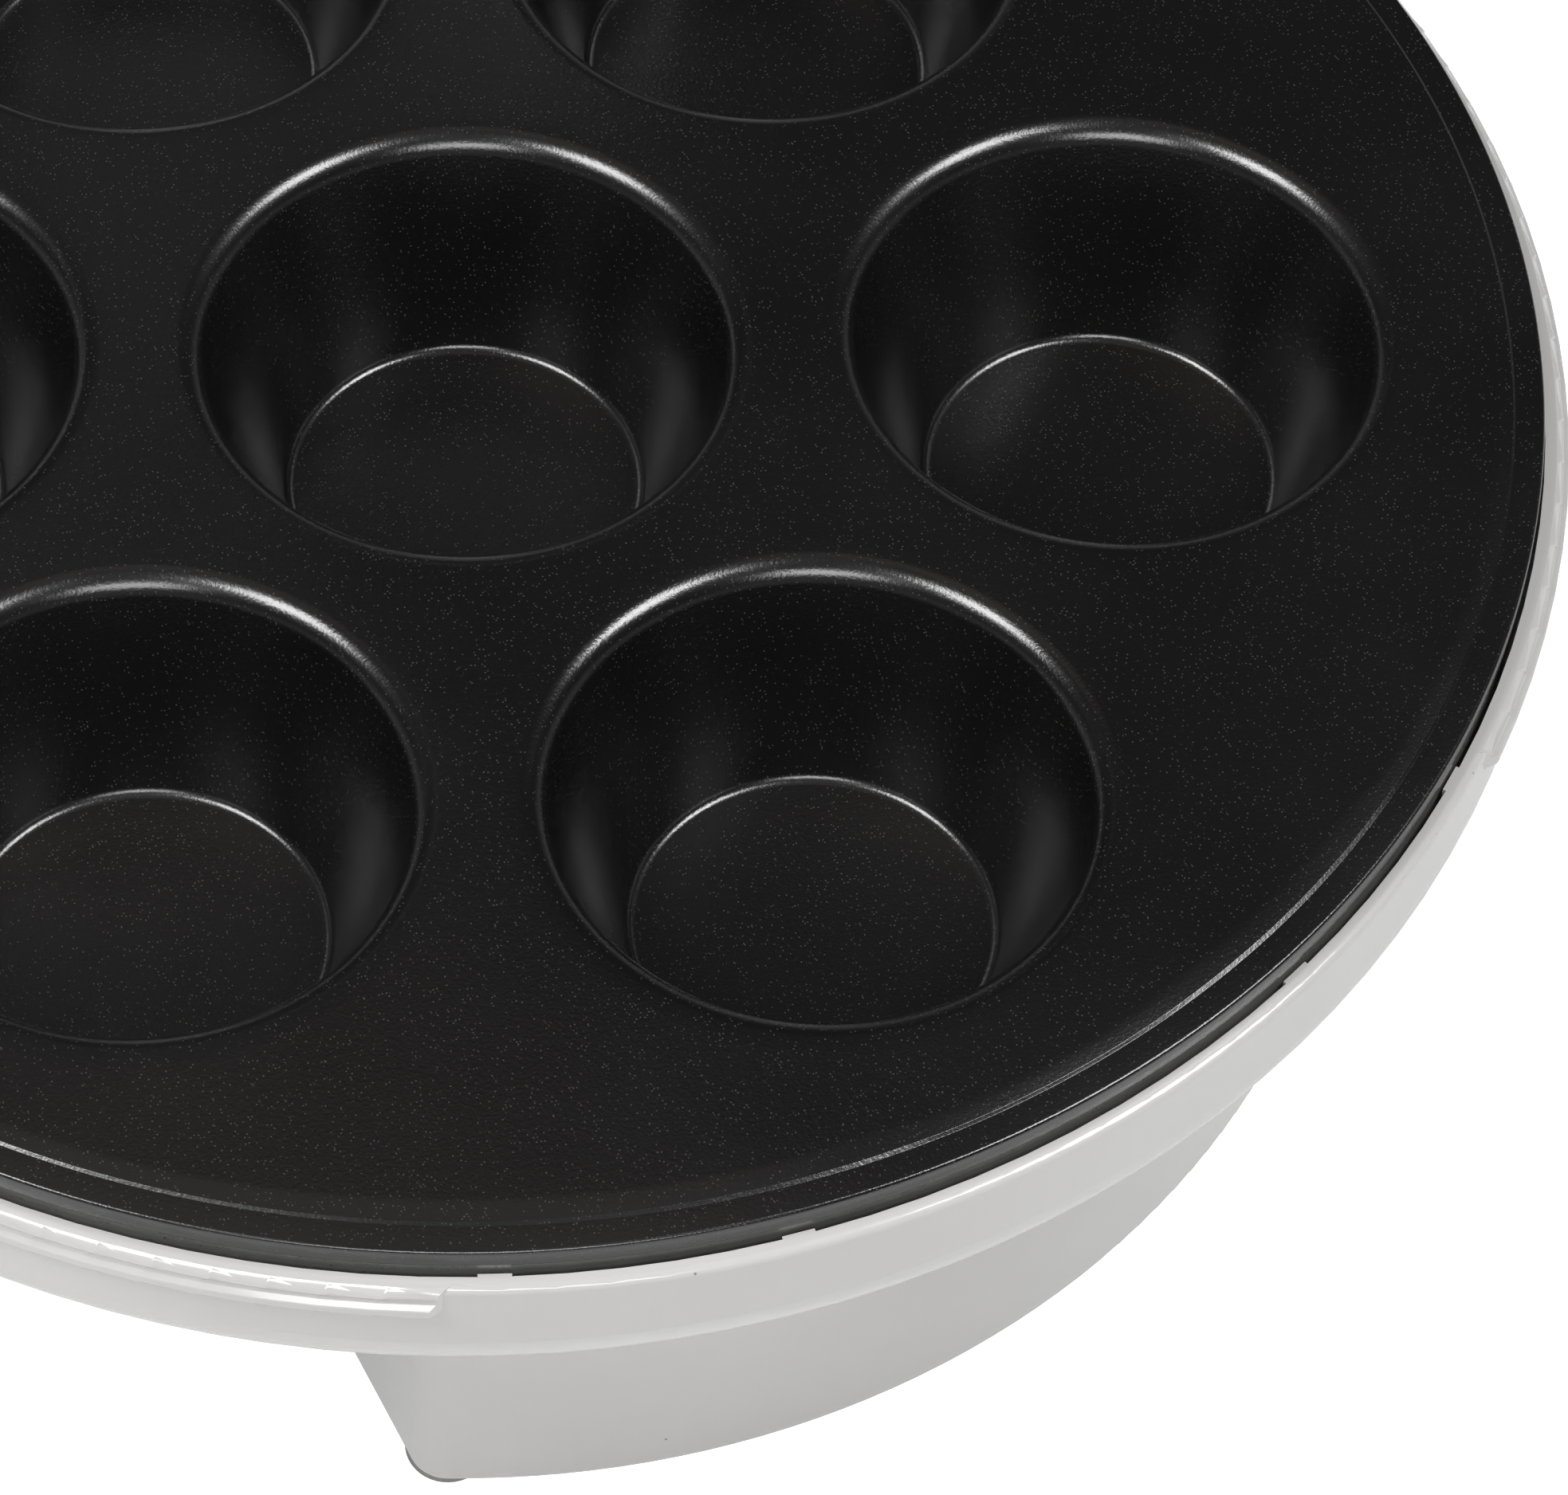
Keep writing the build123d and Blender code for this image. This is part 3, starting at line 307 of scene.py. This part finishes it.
def plate(name, hollow, radii, pressed):
    """Face, cups and edge of a baking plate, face up at height 0, in millimetres, as a thin sheet that
    thicken later gives its thickness below.
    """
    mesh = bmesh.new()
    lip = rounded(hollow, radii, 9)
    rim = rounded(EDGE, EDGE_RADII, 5)
    angles = [math.radians(30 + 360 / CUP_COUNT * i) for i in range(CUP_COUNT)]
    cups = [Vector((0, 0))] + [Vector((math.cos(a), math.sin(a))) * CUP_PITCH for a in angles]
    loops = []
    for cup in cups:
        rows = ring(mesh, lip[:-1], CUP_RUNS,
                    lambda r, z, a, c=cup: (c.x + r * math.cos(a), c.y + r * math.sin(a), z))
        bridge(mesh, rows, flip=True)
        bottom = mesh.verts.new((cup.x, cup.y, lip[-1].y))
        last = rows[-1]
        for k in range(len(last)):
            mesh.faces.new((last[k], last[(k + 1) % len(last)], bottom))
        loops.append(rows[0])

    def edge_point(r, z, a):
        degrees = (math.degrees(a) + 180) % 360 - 180
        inward = crest(degrees) * pressed * max(0.0, min(1.0, (PRESSED_EDGE - r) / PRESSED_RUN))
        return ((r - inward) * math.cos(a), (r - inward) * math.sin(a), z)

    rows = ring(mesh, rim, EDGE_RUNS, edge_point)
    bridge(mesh, rows)
    loops.append(rows[0])

    corners, borders, owner = [], [], []
    for number, loop in enumerate(loops):
        first, count = len(corners), len(loop)
        corners += loop
        owner += [number] * count
        borders += [(first + k, first + (k + 1) % count) for k in range(count)]
    flat = [v.co.xy for v in corners]
    for i in range(-18, 19):
        for j in range(-18, 19):
            spot = Vector((FACE_STEP * (i + 0.5 * (j % 2)), FACE_STEP * 0.866 * j))
            if spot.length < FACE_REACH and all((spot - c).length > lip[0].x + 1.0 for c in cups):
                corners.append(mesh.verts.new((spot.x, spot.y, 0)))
                owner.append(-1)
                flat.append(spot)
    _, _, faces, origin, _, _ = delaunay_2d_cdt(flat, borders, [], 1, 1e-5)
    for face in faces:
        three = [origin[k][0] for k in face]
        loops_met = {owner[k] for k in three}
        if len(loops_met) > 1 or -1 in loops_met:
            mesh.faces.new([corners[k] for k in three])
    bmesh.ops.recalc_face_normals(mesh, faces=mesh.faces)
    if next(f for f in mesh.faces if len(f.verts) == 3 and abs(f.normal.z) > 0.9).normal.z < 0:
        bmesh.ops.reverse_faces(mesh, faces=mesh.faces)
    for face in mesh.faces:
        face.smooth = True
    data = bpy.data.meshes.new(name)
    mesh.to_mesh(data)
    mesh.free()
    return data


def add_piece(name, data, material, body, replaced, moved=Matrix.Identity(4)):
    """A piece of the object from a mesh in millimetres."""
    data.transform(moved @ Matrix.Scale(MM, 4))
    data.materials.append(finishes[material])
    piece = bpy.data.objects.new(name, data)
    bpy.context.scene.collection.objects.link(piece)
    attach(piece, body)
    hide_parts(replaced)
    return piece


def swung(gap):
    """From a plate's own place, face up, to the open lid's."""
    pivot = Vector(hinge["pos_m"])
    opened = Matrix.Rotation(-math.radians(hinge["range_deg"][1]), 4, "X")
    shut = Matrix.Translation(centre + Vector((0, 0, gap * MM))) @ Matrix.Rotation(math.pi, 4, "X")
    return Matrix.Translation(pivot) @ opened @ Matrix.Translation(-pivot) @ shut


def thicken(piece, thickness):
    solid = piece.modifiers.new("thickness", "SOLIDIFY")
    solid.thickness = thickness * MM
    solid.offset = -1.0


lower = add_piece("baking_plate", plate("baking_plate", CUP_LIP, CUP_RADII, 1.0), "nonstick", "base",
                  "lower_plate", Matrix.Translation(centre))
thicken(lower, SHEET)
upper = add_piece("lid_plate", plate("lid_plate", DOME_LIP, DOME_RADII, 0.0), "lid_nonstick", "lid",
                  "upper_plate", swung(SHUT_GAP))
thicken(upper, SHEET)


# ---------------------------------------------------------------- floor, light and camera

def floor():
    """Plain pale floor, with its own faint unevenness."""
    data = bpy.data.meshes.new("floor")
    reach = 6.0
    data.from_pydata([(-reach, -reach, 0), (reach, -reach, 0), (reach, reach, 0), (-reach, reach, 0)],
                     [], [(0, 1, 2, 3)])
    paint = surface("floor", (0.58, 0.58, 0.58), (0.6, 0.6, 0.6), (0.6, 0.7), patch=3.0, relief=0.0,
                    Emission_Color=(1, 1, 1, 1))
    tree = paint.node_tree
    glow = spread(tree, add(tree, "LightPath").outputs["Is Camera Ray"], 0.3, 0.95, 0.0, 1.0)
    link(tree, glow, tree.nodes["Principled BSDF"].inputs["Emission Strength"])
    data.materials.append(paint)
    made = bpy.data.objects.new("floor", data)
    bpy.context.scene.collection.objects.link(made)
    made.location.z = -0.0002


def softbox(name, azimuth, elevation, distance, width, height, radiance, colour=(1, 1, 1)):
    """A rectangular light turned to the plate. Its strength is its radiance, whatever its size."""
    a, e = math.radians(azimuth), math.radians(elevation)
    out = Vector((math.cos(a) * math.cos(e), math.sin(a) * math.cos(e), math.sin(e)))
    data = bpy.data.lights.new(name, "AREA")
    data.shape = "RECTANGLE"
    data.size = width
    data.size_y = height
    data.energy = radiance * math.pi * width * height
    data.color = colour
    made = bpy.data.objects.new(name, data)
    bpy.context.scene.collection.objects.link(made)
    made.location = centre + out * distance
    made.rotation_euler = out.to_track_quat("Z", "Y").to_euler()


def studio():
    """World that the camera sees pale, and surfaces see dim, darker above."""
    world = bpy.data.worlds.new("studio")
    bpy.context.scene.world = world
    world.use_nodes = True
    tree = world.node_tree
    place = add(tree, "TexCoord").outputs["Generated"]
    parts = add(tree, "SeparateXYZ")
    link(tree, place, parts.inputs[0])
    height = spread(tree, parts.outputs["Z"], 0.0, 1.0, 0.0, 0.35)
    dim = blend(tree, height, (0.35, 0.35, 0.35), (0.042, 0.042, 0.046))
    seen = add(tree, "LightPath").outputs["Is Camera Ray"]
    colour = blend(tree, seen, dim, (0.98, 0.98, 0.98))
    link(tree, colour, tree.nodes["Background"].inputs["Color"])


def camera():
    """Camera at the front left, looking down on the plate."""
    azimuth = math.radians(CAMERA_AZIMUTH)
    out = Vector((math.cos(azimuth), math.sin(azimuth), 0)) * CAMERA_OUT
    place = centre + out + Vector((0, 0, CAMERA_UP))
    aim = centre + Vector((*CAMERA_AIM, 0))
    ahead = (aim - place).normalized()
    right = ahead.cross(Vector((0, 0, 1))).normalized()
    up = right.cross(ahead)
    roll = math.radians(CAMERA_ROLL)
    x = right * math.cos(roll) + up * math.sin(roll)
    y = up * math.cos(roll) - right * math.sin(roll)
    data = bpy.data.cameras.new("camera")
    data.sensor_width = 36.0
    data.lens = CAMERA_LENS
    data.clip_start = 0.02
    data.clip_end = 50.0
    made = bpy.data.objects.new("camera", data)
    bpy.context.scene.collection.objects.link(made)
    turned = Matrix((x, y, -ahead)).transposed().to_4x4()
    made.matrix_world = Matrix.Translation(place) @ turned
    bpy.context.scene.camera = made


floor()
studio()
softbox("softbox_right", -36, 60, 1.4, 0.5, 0.5, 13.0)
softbox("softbox_left", 172, 56, 1.4, 0.6, 0.5, 13.0)
softbox("softbox_front", -121, 40, 1.6, 0.8, 0.5, 6.0)
softbox("softbox_rear", 74, 70, 1.3, 0.5, 0.4, 0.24, (1.0, 0.88, 0.78))
camera()
bpy.context.scene.view_settings.view_transform = "Standard"
